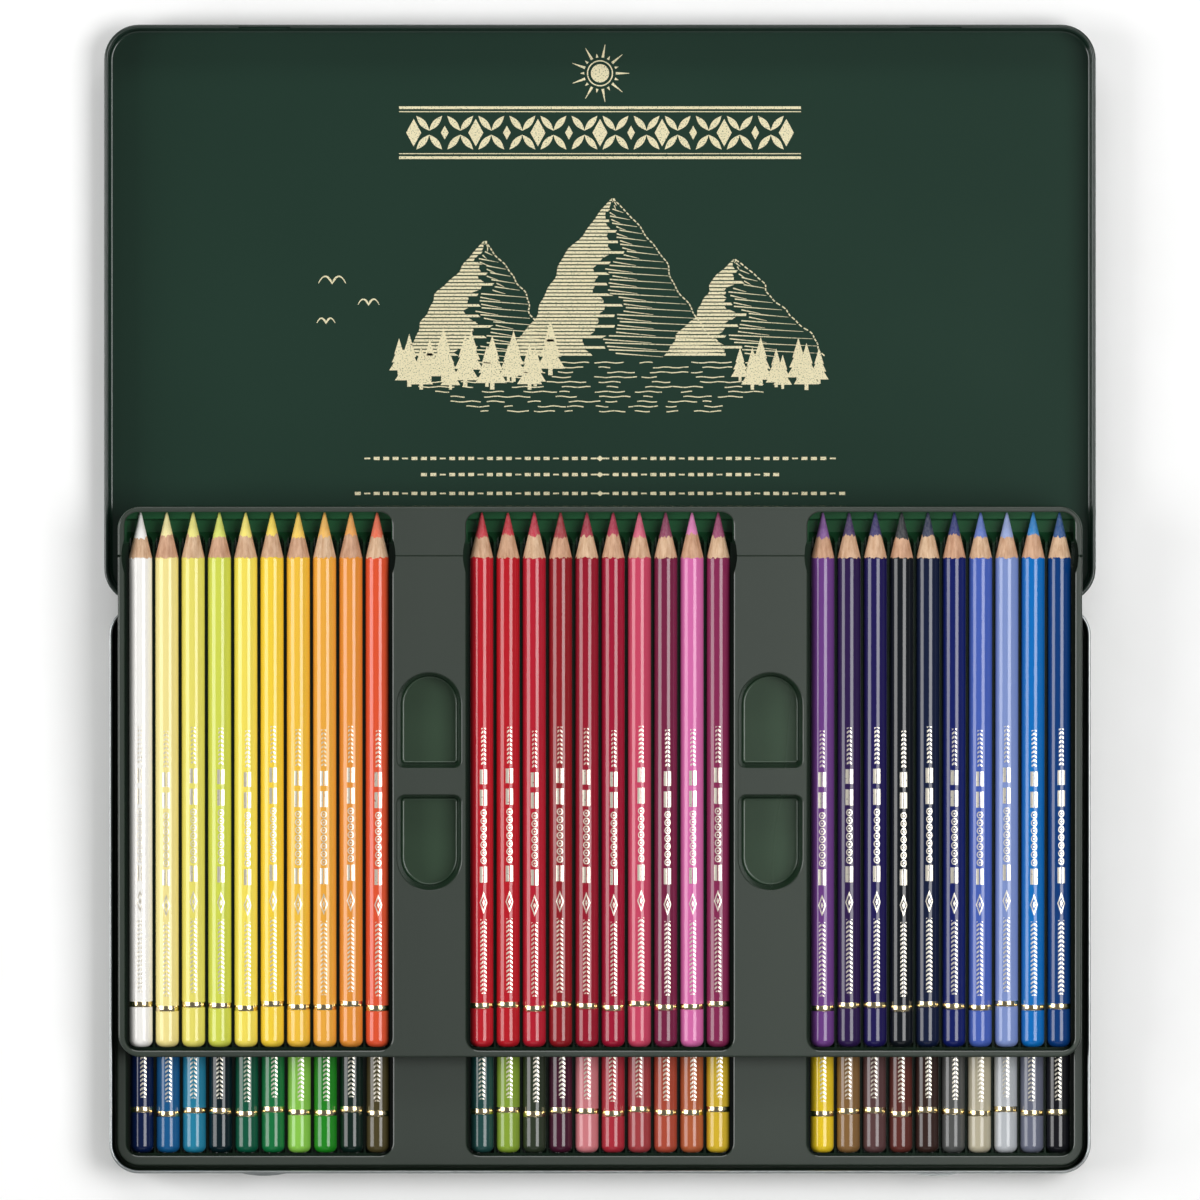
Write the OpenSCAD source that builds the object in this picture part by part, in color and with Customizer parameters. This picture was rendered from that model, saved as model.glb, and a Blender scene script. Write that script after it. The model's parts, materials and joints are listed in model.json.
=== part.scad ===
// A hinged, flat metal tin for sixty coloured pencils, lying open. The lid rests on its back behind the
// base. Two thermoformed trays hold thirty pencils each. The lower one sits in the base, and the upper one
// lies pushed back over the hinge, on the base's rear rim and the lower tray. +X is to the right, +Y towards
// the lid, and +Z up.

/* [Pencils] */
// Diameter of a pencil's wood casing
pencil_d = 7.6; // [6.8:0.1:7.8]
// Length of a pencil, from its dipped end to its point
pencil_len = 175; // [150:1:190]
// Diameter of the coloured lead
lead_d = 3.8; // [2:0.1:4.4]
// Length of the sharpened cone
cone_len = 14.8; // [10:0.1:22]
// Diameter of the blunted point
point_d = 0.6; // [0.2:0.1:1.2]
// Edge radius of the dipped end
dip_r = 2.2; // [0.5:0.1:3]
// Play between the lead and its bore, on the radius
lead_fit = 0.03; // [0.02:0.01:0.1]

/* [Trays] */
// Distance from one pencil to the next
pencil_pitch = 8.6; // [8.4:0.1:10]
// Pencils in one well
per_well = 10; // [4:1:10]
// Thickness of the plastic sheet
sheet = 0.5; // [0.4:0.05:0.8]
// Height of a tray, from its feet to its flange
tray_h = 10; // [9.6:0.1:12]
// Flange between two wells
band_w = 24; // [24:0.5:30]
// Flange beside the outer wells of the upper tray
side_edge = 2.2; // [2.2:0.1:4]
// Flange in front of the upper tray's wells
front_edge = 2.1; // [1.8:0.1:4]
// Flange behind the upper tray's wells
rear_edge = 1.8; // [1.8:0.1:4]
// How much larger the lower tray is at each side and in front
lower_extra = 0.9; // [0.5:0.1:1.5]
// Corner radius of a tray
tray_r = 7.5; // [6:0.1:8]
// Distance of the crease from the upper tray's rear edge
crease_back = 16.2; // [14:0.1:25]
// Depth of a finger cup
cup_depth = 8.4; // [5:0.1:8.6]
// Length of a finger cup, from its flat end to its round end
cup_len = 31.2; // [28:0.1:40]
// Web between the two finger cups of a band
cup_web = 8.8; // [5:0.1:14]

/* [Tin] */
// Thickness of the tinplate
tin = 0.35; // [0.25:0.05:0.5]
// Height of the base's walls
base_h = 15.5; // [14:0.5:18]
// Depth of the lid, which is also the height of the hinge axis
lid_h = 11.5; // [11:0.5:13]
// Corner radius of the base
base_r = 9.6; // [9:0.1:11]
// Radius of the bend between a floor and its walls
bend_r = 1.5; // [1:0.1:2.5]
// Width of the rolled rim of the base
base_bead = 1.0; // [0.8:0.1:1.2]
// Width of the rolled rim of the lid
lid_bead = 1.4; // [1.2:0.1:1.6]
// Play between the closed lid and the base
lid_fit = 0.4; // [0.3:0.05:0.5]
// Distance of each snap bump from the middle
bump_x = 110; // [60:1:140]
// How far a snap bump stands out of the front wall
bump_out = 0.8; // [0.4:0.1:0.9]
// Length of a snap bump
bump_w = 14.5; // [10:0.5:20]

/* [Hinge] */
// Distance of each hinge from the middle
hinge_x = 95; // [50:1:130]
// Length of one hinge over its three barrels
hinge_len = 30; // [20:1:40]
// Length of the lid's barrel in a hinge
lid_barrel = 12; // [8:1:14]
// Outer radius of a barrel
barrel_r = 1.05; // [1:0.05:1.1]
// Radius of a hinge pin
pin_r = 0.6; // [0.5:0.05:0.6]
// Play of the pin in its barrels, on the radius
pin_fit = 0.05; // [0.03:0.01:0.06]
// Gap between neighbouring barrels
barrel_gap = 0.3; // [0.2:0.05:0.5]

/* [Pose] */
// How far back the upper tray lies from its home over the lower tray
tray_back = 35.5; // [30:0.5:60]
// Gap where one piece rests on another
seat = 0.1; // [0.05:0.01:0.2]

/* [Hidden] */
$fn = 64;
wells = 3;
row = wells * per_well;

// How far a cut runs past an open face, and past a face that it only just has to break
past = 1;
cut = 0.05;

// Wells: one row of half-round channels each, with room round the pencils
well_w = per_well * pencil_pitch + 1.6;
tip_room = 0.4;
end_room = 1.0;
well_d = pencil_len + tip_room + end_room;
well_r = 4.4;
well_step = well_w + band_w;
channel_r = pencil_d / 2 + 0.25;
channel_z = channel_r + sheet;
ridge_drop = 0.95;
ridge_z = channel_z - ridge_drop;
channel_end = 0.8;

// The cross trough under the pencil points, measured from the wells' rear wall. Its far side rises at 45
// degrees.
trough_near = 2.4;
trough_far = 6.9;
trough_lead = 0.7;
trough_rise = ridge_z + cut - sheet;

// The crease and the relief beside it, where the sheet can flex
crease_w = 0.7;
crease_deep = 0.25;
notch_w = 0.8;
notch_in = 0.8;
notch_deep = 2.5;
relief_out = 1.0;
relief_len = 11.5;
relief_r = arc_r(relief_len, relief_out);
crease_y = well_d / 2 + rear_edge - crease_back;

// Finger cups in the flange bands
cup_w = band_w - 3;
cup_draft = 1.4;
cup_corner = 2.6;

// Edges: the bend at a tray's rim, and the bevel at the mouth of a well or cup
tray_bend = 0.8;
lip_w = 0.4;
lip_h = 0.25;

// The trays' outlines
upper_w = wells * well_w + (wells - 1) * band_w + 2 * side_edge;
upper_d = well_d + front_edge + rear_edge;
lower_side = side_edge + lower_extra;
lower_front = front_edge + lower_extra + 0.3;
lower_rear = rear_edge + 0.5;
lower_w = upper_w + 2 * lower_extra;
lower_d = well_d + lower_front + lower_rear;

// The base, with its outer faces measured from the hinge axis
rim_gap = 1.2;
front_gap = rim_gap + base_bead;
rear_gap = 1.8;
base_w = lower_w + 2 * (rim_gap + base_bead);
base_d = lower_d + front_gap + rear_gap;
base_rear = -1.3;
base_front = base_rear - base_d;
bump_r = arc_r(bump_w, bump_out);
bump_low = 11.8;
bump_high = 14.7;

// The lid, open, with its inner faces measured from the hinge axis
lid_near = -base_rear - lid_fit;
lid_far = -base_front + lid_fit;
lid_in_w = base_w + 2 * lid_fit;
lid_in_d = lid_far - lid_near;
lid_r = base_r + lid_fit + tin;
catch_w = bump_w + 2.5;
catch_in = bump_out - lid_fit + 0.3;
catch_h = 3.7;

// The whole object is centred on the origin, so the hinge axis lies just in front of it
lid_back = lid_far + lid_bead;
bump_front = base_front - bump_out;
hinge_y = -(lid_back + bump_front) / 2;
hinge_z = lid_h;
barrel_len = (hinge_len - lid_barrel) / 2 - barrel_gap;
pin_len = hinge_len - 2 * barrel_gap;
web_t = 0.3;
bore_r = pin_r + pin_fit;

// Places of the trays: the middle of their wells, their feet, and the upper tray's tilt
lower_y = hinge_y + base_front + front_gap + lower_front + well_d / 2;
lower_z = tin + seat;
home_front = hinge_y + base_front + front_gap + (lower_d - upper_d) / 2;
upper_front = home_front + tray_back;
rim_y = hinge_y + base_rear - base_bead / 2;
upper_tilt = atan((base_h - lower_z - tray_h) / (rim_y - upper_front));
upper_z = lower_z + tray_h + seat;

// Pencils: the axis over a tray's feet, and both ends along the wells
pencil_z = sheet + seat + pencil_d / 2;
pencil_end = -well_d / 2 + end_room;
lead_r = lead_d / 2;
bore_in = lead_r + lead_fit;
blind = 3;

upper_colours = [
    "White", "Cornsilk", "LemonChiffon", "Khaki", "Yellow",
    "Gold", "Orange", "SandyBrown", "DarkOrange", "OrangeRed",
    "Tomato", "Red", "Crimson", "DarkRed", "Firebrick",
    "IndianRed", "HotPink", "Maroon", "Orchid", "MediumVioletRed",
    "DarkViolet", "DarkSlateBlue", "Indigo", "MidnightBlue", "Navy",
    "DarkBlue", "CornflowerBlue", "LightSteelBlue", "RoyalBlue", "SteelBlue"
];
lower_colours = [
    "Navy", "RoyalBlue", "Turquoise", "DarkSlateGray", "Teal",
    "MediumSeaGreen", "YellowGreen", "LimeGreen", "DarkGreen", "DarkOliveGreen",
    "DarkCyan", "OliveDrab", "Olive", "Maroon", "Salmon",
    "Red", "IndianRed", "Brown", "Chocolate", "Goldenrod",
    "DarkGoldenrod", "Peru", "RosyBrown", "Sienna", "SaddleBrown",
    "Gray", "Tan", "LightSlateGray", "SlateGray", "Black"
];
well_names = ["left", "middle", "right"];

function two_digits(i) = str(i < 10 ? "0" : "", i);
function upper_name(i) = str("upper_pencil_", two_digits(i));
function well_x(w) = (w - (wells - 1) / 2) * well_step;
function arc_r(chord, rise) = (chord * chord / 4 + rise * rise) / (2 * rise);
function place_x(i) = (i - (per_well - 1) / 2) * pencil_pitch;
function cone_at(r) = cone_len * (r - point_d / 2) / (pencil_d / 2 - point_d / 2);

// ---- shared forms ----

module rounded(w, d, r) {
    square([w - 2 * r, d], center = true);
    square([w, d - 2 * r], center = true);
    for (x = [-1, 1], y = [-1, 1])
        translate([x * (w / 2 - r), y * (d / 2 - r)]) circle(r);
}

// Carries a section round a rounded rectangle. In the section, x = r is the rectangle's outline.
module around(w, d, r) {
    for (k = [0 : 3]) {
        across = k % 2 == 0 ? w : d;
        along = k % 2 == 0 ? d : w;
        rotate(90 * k) translate([across / 2 - r, along / 2 - r, 0]) {
            rotate([90, 0, 0]) linear_extrude(along - 2 * r) children();
            rotate_extrude(angle = 90) children();
        }
    }
}

// A quarter of a bent sheet about the origin, from straight down to straight right.
module bend(r, t) {
    intersection() {
        difference() {
            circle(r);
            circle(r - t);
        }
        translate([0, -r]) square(r);
    }
}

// A pressed tin: a floor, a bend, a wall and a rolled bead at bead_x.
module tin_section(r, h, bead, bead_x) {
    square([r - bend_r, tin]);
    translate([r - bend_r, bend_r]) bend(bend_r, tin);
    translate([r - tin, bend_r]) square([tin, h - bend_r - bead / 2]);
    translate([bead_x, h - bead / 2]) circle(bead / 2);
}

module tin_shell(w, d, r, h, bead, bead_x) {
    around(w, d, r) tin_section(r, h, bead, bead_x);
    translate([0, 0, tin / 2]) cube([w - 2 * r, d - 2 * r, tin], center = true);
}

module rod_x(r, x0, len) {
    translate([x0, 0, 0]) rotate([0, 90, 0]) cylinder(r = r, h = len);
}

// ---- tin ----

// Bumps pressed out of the front wall: upright discs, of which only the rim stands out.
module base_bumps(shrink) {
    for (s = [-1, 1])
        translate([s * bump_x, base_front - bump_out + bump_r, bump_low + shrink])
            cylinder(r = bump_r - shrink, h = bump_high - bump_low - 2 * shrink);
}

module at_base_barrels() {
    for (s = [-1, 1], e = [0, 1])
        translate([s * hinge_x - hinge_len / 2 + e * (hinge_len - barrel_len), 0, hinge_z]) children();
}

module base_barrels() {
    at_base_barrels() {
        rod_x(barrel_r, 0, barrel_len);
        translate([0, base_rear - tin / 2, -barrel_r]) cube([barrel_len, -base_rear + tin / 2, web_t]);
    }
}

module base_shell() {
    color("Silver") translate([0, hinge_y, 0]) difference() {
        union() {
            translate([0, (base_rear + base_front) / 2, 0])
                tin_shell(base_w, base_d, base_r, base_h, base_bead, base_r - base_bead / 2);
            intersection() {
                base_bumps(0);
                translate([-base_w / 2, base_front - past, 0]) cube([base_w, past + tin / 2, base_h]);
            }
            base_barrels();
        }
        base_bumps(tin);
        at_base_barrels() rod_x(bore_r, -past, barrel_len + 2 * past);
    }
}

// The pockets in the lid's front wall that take the base's bumps. They are open at the rim.
module catches(grow) {
    depth = catch_in + grow;
    for (s = [-1, 1])
        translate([s * bump_x, lid_far + depth / 2, lid_h - catch_h - grow])
            linear_extrude(catch_h + grow) square([catch_w + 2 * grow, depth], center = true);
}

module lid_shell() {
    w = lid_in_w + 2 * tin;
    d = lid_in_d + 2 * tin;
    color("DarkSlateGray") translate([0, hinge_y, 0]) difference() {
        union() {
            translate([0, (lid_near + lid_far) / 2, 0])
                tin_shell(w, d, lid_r, lid_h, lid_bead, lid_r - tin + lid_bead / 2);
            translate([0, 0, -lid_bead / 2]) catches(tin);
            for (s = [-1, 1])
                translate([s * hinge_x, 0, hinge_z]) rod_x(barrel_r, -lid_barrel / 2, lid_barrel);
        }
        catches(0);
        at_base_barrels()
            translate([-barrel_gap, lid_near - lid_bead - past, -lid_bead - cut])
                cube([barrel_len + 2 * barrel_gap, lid_bead + past + 2 * cut, lid_bead + past]);
        for (s = [-1, 1])
            translate([s * hinge_x, 0, hinge_z])
                rod_x(bore_r, -lid_barrel / 2 - past, lid_barrel + 2 * past);
    }
}

module hinge_pins() {
    color("LightGray") for (s = [-1, 1])
        translate([s * hinge_x, hinge_y, hinge_z]) rod_x(pin_r, -pin_len / 2, pin_len);
}

// ---- trays ----

// The discs of one well's channels, seen along the pencils.
module channel_section(r) {
    for (i = [0 : per_well - 1]) translate([place_x(i), channel_z]) circle(r);
}

module along_y(y0, y1) {
    translate([0, y1, 0]) rotate([90, 0, 0]) linear_extrude(y1 - y0) children();
}

// The cross trough in front of the wells' rear wall, seen from the side. grow moves its sides out.
module trough_section(grow) {
    near = well_d / 2 - trough_near + grow;
    far = well_d / 2 - trough_far;
    polygon([
        [near, sheet + trough_rise],
        [near - trough_lead, sheet - grow],
        [far - grow * tan(45 / 2), sheet - grow],
        [far - trough_rise - grow / cos(45), sheet + trough_rise]
    ]);
}

module trough(grow) {
    w = well_w - 2 * sheet + 2 * grow;
    translate([-w / 2, 0, 0]) rotate([90, 0, 90]) linear_extrude(w) trough_section(grow);
}

// The reliefs in a well's sides: shallow arcs at the crease, from large discs kept to the crease's own stretch.
module reliefs(grow, z0, z1) {
    intersection() {
        for (s = [-1, 1])
            translate([s * (well_w / 2 + relief_out - relief_r), crease_y, z0])
                cylinder(r = relief_r + grow, h = z1 - z0);
        translate([0, crease_y, tray_h / 2])
            cube([well_w + 4 * relief_out, 2 * relief_len, tray_h + 2 * past], center = true);
    }
}

module well_outside() {
    low = ridge_z - sheet;
    intersection() {
        union() {
            along_y(-well_d / 2 + channel_end - sheet, well_d / 2 - trough_far + sheet) intersection() {
                channel_section(channel_r + sheet);
                translate([-well_w / 2 - sheet, 0]) square([well_w + 2 * sheet, ridge_z]);
            }
            trough(sheet);
            translate([-well_w / 2 - sheet, -well_d / 2 - sheet, low])
                cube([well_w + 2 * sheet, well_d + 2 * sheet, tray_h - low]);
        }
        linear_extrude(tray_h) rounded(well_w + 2 * sheet, well_d + 2 * sheet, well_r + sheet);
    }
    reliefs(sheet, low, tray_h - sheet / 2);
}

module well_inside() {
    translate([0, 0, ridge_z]) linear_extrude(tray_h) rounded(well_w, well_d, well_r);
    intersection() {
        along_y(-well_d / 2 + channel_end, well_d / 2 - trough_far - 2 * cut) intersection() {
            channel_section(channel_r);
            translate([-well_w / 2, 0]) square([well_w, ridge_z + cut]);
        }
        linear_extrude(tray_h) rounded(well_w, well_d, well_r);
    }
    trough(0);
    reliefs(0, ridge_z, tray_h + past);
    translate([0, 0, tray_h]) around(well_w, well_d, well_r) lip_section(well_r);
}

// The bevel at a well's mouth, cut where the wall at x = r meets the flange.
module lip_section(r) {
    polygon([[r - cut, -lip_h], [r, -lip_h], [r + lip_w, 0], [r + lip_w, cut], [r - cut, cut]]);
}

// A finger cup's form, round at its far end and flat at the web. grow moves its mouth out, and its walls
// draw in by draft over the depth h.
module cup(grow, h, draft) {
    r = cup_w / 2 + grow;
    c = cup_corner + grow;
    far = cup_web / 2 + cup_len - cup_w / 2;
    near = cup_web / 2 + cup_corner;
    side = cup_w / 2 - cup_corner;
    translate([0, 0, tray_h - h]) {
        translate([0, far, 0]) cylinder(r1 = r - draft, r2 = r, h = h);
        for (s = [-1, 1]) translate([s * side, near, 0]) cylinder(r1 = c - draft, r2 = c, h = h);
        translate([0, far, 0]) rotate([90, 0, 0]) linear_extrude(far - near)
            polygon([[-r + draft, 0], [r - draft, 0], [r, h], [-r, h]]);
        translate([-side, near, 0]) rotate([90, 0, 90]) linear_extrude(2 * side)
            polygon([[0, 0], [-c + draft, 0], [-c, h], [0, h]]);
    }
}

module cups(grow, h, draft) {
    for (x = [-1, 1], y = [0, 1])
        translate([x * well_step / 2, 0, 0]) mirror([0, y, 0]) cup(grow, h, draft);
}

// The flange and the skirt under its edge.
module flange_section() {
    translate([tray_r - tray_bend, tray_h - tray_bend]) mirror([0, 1]) bend(tray_bend, sheet);
    translate([tray_r - sheet, 0]) square([sheet, tray_h - tray_bend]);
    translate([0, tray_h - sheet]) square([tray_r - tray_bend, sheet]);
}

// The score line across a tray, and the notches in the skirt at its ends.
module crease(w) {
    translate([-w / 2 - past, crease_y, tray_h]) rotate([90, 0, 90]) linear_extrude(w + 2 * past)
        polygon([[-crease_w / 2, cut], [crease_w / 2, cut], [0, -crease_deep]]);
    for (s = [-1, 1])
        translate([s * w / 2 - notch_in, crease_y - notch_w / 2, tray_h - notch_deep])
            cube([2 * notch_in, notch_w, notch_deep + past]);
}

module tray(side, front, rear) {
    w = wells * well_w + (wells - 1) * band_w + 2 * side;
    d = well_d + front + rear;
    difference() {
        union() {
            translate([0, (rear - front) / 2, 0]) {
                around(w, d, tray_r) flange_section();
                translate([0, 0, tray_h - sheet / 2])
                    cube([w - 2 * tray_r, d - 2 * tray_r, sheet], center = true);
            }
            for (k = [0 : wells - 1]) translate([well_x(k), 0, 0]) well_outside();
            cups(sheet, cup_depth + sheet, cup_draft);
        }
        for (k = [0 : wells - 1]) translate([well_x(k), 0, 0]) well_inside();
        translate([0, 0, cut]) {
            cups(0, cup_depth + cut, cup_draft);
            cups(lip_w, lip_h + cut, lip_w);
        }
        crease(w);
    }
}

module on_lower_tray() {
    translate([0, lower_y, lower_z]) children();
}

module on_upper_tray() {
    translate([0, upper_front, upper_z]) rotate([upper_tilt, 0, 0])
        translate([0, front_edge + well_d / 2, 0]) children();
}

module lower_tray() {
    color("DarkOliveGreen") on_lower_tray() tray(lower_side, lower_front, lower_rear);
}

module upper_tray() {
    color("DarkOliveGreen") on_upper_tray() tray(side_edge, front_edge, rear_edge);
}

// ---- pencils ----

module along_pencil(x) {
    translate([x, pencil_end, pencil_z]) rotate([-90, 0, 0]) children();
}

// The wood casing: dipped end, barrel and sharpened cone, with a blind bore for the lead.
module casing(x) {
    r = pencil_d / 2;
    front = pencil_len - cone_at(bore_in);
    along_pencil(x) difference() {
        rotate_extrude() {
            square([r - dip_r, pencil_len - cone_len]);
            translate([0, dip_r]) square([r, pencil_len - cone_len - dip_r]);
            translate([r - dip_r, dip_r]) intersection() {
                circle(dip_r);
                translate([0, -dip_r]) square(dip_r);
            }
            polygon([[0, pencil_len - cone_len], [r, pencil_len - cone_len], [bore_in, front], [0, front]]);
        }
        translate([0, 0, blind]) cylinder(r = bore_in, h = pencil_len);
    }
}

// The lead: a rod that ends in the same cone as the casing.
module lead(x) {
    front = pencil_len - cone_at(lead_r);
    along_pencil(x) {
        translate([0, 0, blind + seat]) cylinder(r = lead_r, h = front - blind - seat);
        translate([0, 0, front]) cylinder(r1 = lead_r, r2 = point_d / 2, h = pencil_len - front);
    }
}

module upper_pencil(i) {
    x = well_x(floor((i - 1) / per_well)) + place_x((i - 1) % per_well);
    on_upper_tray() {
        color(upper_colours[i - 1]) casing(x);
        color(upper_colours[i - 1]) lead(x);
    }
}

module lower_casings(w) {
    on_lower_tray() for (k = [0 : per_well - 1])
        color(lower_colours[w * per_well + k]) casing(well_x(w) + place_x(k));
}

module lower_leads(w) {
    on_lower_tray() for (k = [0 : per_well - 1])
        color(lower_colours[w * per_well + k]) lead(well_x(w) + place_x(k));
}

base_shell();
lid_shell();
hinge_pins();
lower_tray();
upper_tray();
for (i = [1 : row])
    upper_pencil(i);
for (w = [0 : wells - 1]) {
    lower_casings(w);
    lower_leads(w);
}
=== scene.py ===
# %% [markdown]
# An open tin of sixty coloured pencils, seen from straight above. The tin, its trays, its hinge and the
# room for every pencil come from the frame. This script gives them their finish: enamel, tinplate, moulded
# plastic, lacquer, cedar, coloured lead and foil.

# %% Load the frame
import json
import math

import bpy
import numpy as np
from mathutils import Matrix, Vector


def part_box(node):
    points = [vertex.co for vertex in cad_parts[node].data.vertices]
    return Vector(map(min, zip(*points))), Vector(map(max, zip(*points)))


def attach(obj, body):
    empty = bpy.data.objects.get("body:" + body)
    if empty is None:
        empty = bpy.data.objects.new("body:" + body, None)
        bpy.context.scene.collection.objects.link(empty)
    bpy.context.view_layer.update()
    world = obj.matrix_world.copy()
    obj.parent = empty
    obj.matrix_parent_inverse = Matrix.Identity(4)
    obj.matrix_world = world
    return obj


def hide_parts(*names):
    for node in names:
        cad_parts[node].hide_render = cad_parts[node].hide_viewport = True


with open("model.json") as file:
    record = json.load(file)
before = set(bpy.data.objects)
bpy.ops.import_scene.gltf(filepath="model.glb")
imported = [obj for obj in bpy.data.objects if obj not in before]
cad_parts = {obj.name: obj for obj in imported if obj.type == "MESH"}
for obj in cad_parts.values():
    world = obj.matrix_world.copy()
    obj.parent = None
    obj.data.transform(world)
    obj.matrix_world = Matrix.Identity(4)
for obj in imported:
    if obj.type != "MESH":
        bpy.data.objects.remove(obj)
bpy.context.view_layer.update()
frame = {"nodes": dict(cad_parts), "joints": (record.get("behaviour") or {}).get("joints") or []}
nodes = frame["nodes"]
MM = 0.001

# %% [markdown]
# The upper tray lies at a slight tilt. Its pencils lift out along the tray's normal, so their lift joint's
# axis gives that tilt, and every piece on the tray is placed along it.

# %% Directions of the tilted tray
lift = next(j for j in frame["joints"] if j["name"] == "pencil_01_lift")
UP_TILTED = np.array(lift["axis"], float)
ALONG_TILTED = np.array([0.0, UP_TILTED[2], -UP_TILTED[1]])
UP_FLAT = np.array([0.0, 0.0, 1.0])
ALONG_FLAT = np.array([0.0, 1.0, 0.0])
TRAYS = {"upper_tray": (ALONG_TILTED, UP_TILTED), "lower_tray": (ALONG_FLAT, UP_FLAT)}


def node_points(name):
    data = nodes[name].data.vertices
    points = np.empty(len(data) * 3)
    data.foreach_get("co", points)
    return points.reshape(-1, 3)


print("tilt in degrees:", round(math.degrees(math.asin(ALONG_TILTED[2])), 2))


# %% [markdown]
# Shader maths reads best as plain expressions. A small class wraps one socket, and each operator adds the
# Math node that it stands for. Any other node comes from one method that takes its type, settings and
# inputs.

# %% Shader expressions
class Value:
    """A socket that can be used in arithmetic."""

    def __init__(self, tree, socket):
        self.tree = tree
        self.socket = socket

    def math(self, operation, *others):
        node = self.tree.nodes.new("ShaderNodeMath")
        node.operation = operation
        for place, part in enumerate((self,) + others):
            if isinstance(part, Value):
                self.tree.links.new(part.socket, node.inputs[place])
            else:
                node.inputs[place].default_value = part
        return Value(self.tree, node.outputs[0])

    def __add__(self, other):
        return self.math("ADD", other)

    def __radd__(self, other):
        return self.math("ADD", other)

    def __sub__(self, other):
        return self.math("SUBTRACT", other)

    def __rsub__(self, other):
        return (self * -1.0) + other

    def __mul__(self, other):
        return self.math("MULTIPLY", other)

    def __truediv__(self, other):
        return self.math("DIVIDE", other)

    def __lt__(self, other):
        return self.math("LESS_THAN", other)

    def __gt__(self, other):
        return self.math("GREATER_THAN", other)

    def clamp(self):
        return self.math("MINIMUM", 1.0).math("MAXIMUM", 0.0)

    def ramp(self, low, high):
        """0 at low and under, 1 at high and over, straight between."""
        return ((self - low) / (high - low)).clamp()

    def between(self, low, high):
        return (self > low) * (self < high)


class Finish:
    """One material, with a Principled shader and a method for every other node."""

    def __init__(self, name):
        self.material = bpy.data.materials.new(name)
        self.material.use_nodes = True
        self.tree = self.material.node_tree
        self.shader = self.tree.nodes["Principled BSDF"]

    def node(self, kind, settings=None, inputs=None, out=0):
        node = self.tree.nodes.new(kind)
        for key, value in (settings or {}).items():
            setattr(node, key, value)
        for key, value in (inputs or {}).items():
            self.feed(node.inputs[key], value)
        return Value(self.tree, node.outputs[out])

    def feed(self, socket, value):
        if isinstance(value, Value):
            self.tree.links.new(value.socket, socket)
        else:
            socket.default_value = value

    def set(self, **inputs):
        for key, value in inputs.items():
            self.feed(self.shader.inputs[key.replace("_", " ")], value)
        return self.material

    def place(self):
        """Object coordinates, which don't slide when a piece moves."""
        return self.node("ShaderNodeTexCoord", out="Object")

    def axes(self, vector):
        split = self.tree.nodes.new("ShaderNodeSeparateXYZ")
        self.feed(split.inputs[0], vector)
        return [Value(self.tree, output) for output in split.outputs]

    def noise(self, vector, scale, detail=2.0, roughness=0.5):
        inputs = {"Vector": vector, "Scale": scale, "Detail": detail, "Roughness": roughness}
        return self.node("ShaderNodeTexNoise", {}, inputs, "Fac")

    def stretched(self, vector, scale):
        return self.node("ShaderNodeMapping", {}, {"Vector": vector, "Scale": scale})

    def mix(self, factor, low, high):
        """low where factor is 0, high where it is 1, for colours."""
        node = self.tree.nodes.new("ShaderNodeMix")
        node.data_type = "RGBA"
        self.feed(node.inputs[0], factor)
        for place, colour in ((6, low), (7, high)):
            self.feed(node.inputs[place], colour if isinstance(colour, Value) else (*colour, 1.0))
        return Value(self.tree, node.outputs[2])

    def bump(self, height, strength, distance):
        inputs = {"Height": height, "Strength": strength, "Distance": distance}
        return self.node("ShaderNodeBump", {}, inputs, "Normal")


def paint(code):
    """A colour written as six hex digits, as the linear light that shaders work in."""
    parts = [int(code[i : i + 2], 16) / 255 for i in (0, 2, 4)]
    return tuple(c / 12.92 if c <= 0.04045 else ((c + 0.055) / 1.055) ** 2.4 for c in parts)


def dress(material, name):
    for slot in nodes[name].material_slots:
        slot.material = material


def add(name, data):
    """A new object in the scene, at the origin and unturned."""
    added = bpy.data.objects.new(name, data)
    bpy.context.scene.collection.objects.link(added)
    return added


# %% [markdown]
# The lid is tinplate, printed and stoved before it is pressed, so its enamel is hard and glossy and follows
# every bend. Its green is painted darker where the panel bends up into the walls, as painted shade, and its
# rolled rim is painted paler in patches, as a painted highlight on the curl. The height over the panel
# tells the three apart, so it drives the mix.

# %% Lid enamel
SHEET = 0.35 * MM
LID_RIM = 1.3 * MM
RIM_BLEND = 0.2 * MM
BEND_FROM = 0.02 * MM
BEND_FULL = 0.12 * MM
LID_LOW, LID_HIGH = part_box("lid_shell")
PANEL_Z = LID_LOW[2] + SHEET
RIM_Z = LID_HIGH[2] - LID_RIM


def lid_enamel():
    f = Finish("lid_enamel")
    spot = f.place()
    height = f.axes(spot)[2]
    cloud = f.noise(spot, 9.0, 3.0)
    peel = f.noise(spot, 420.0, 2.0)
    green = f.mix(cloud, paint("1C3228"), paint("21392E"))
    # painted shade: darker green on the walls and on the bend at their foot
    green_with_shaded_walls = f.mix(height.ramp(PANEL_Z + BEND_FROM, PANEL_Z + BEND_FULL), green, paint("1A2E25"))
    rim = height.ramp(RIM_Z, RIM_Z + RIM_BLEND)
    # painted highlight: the rolled rim is paler, in patches
    patchy_rim_highlight = f.noise(spot, 60.0, 4.0).ramp(0.2, 0.55) * 0.35 + 0.55
    colour = f.mix(rim * patchy_rim_highlight, green_with_shaded_walls, paint("2C3330"))
    rough = 0.11 + cloud * 0.04 + rim * 0.12
    return f.set(Base_Color=colour, Roughness=rough, Normal=f.bump(peel, 0.03, 0.00002))


dress(lid_enamel(), "lid_shell")
print("lid panel at", round(PANEL_Z * 1000, 2), "mm, rim from", round(RIM_Z * 1000, 2), "mm")
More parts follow.
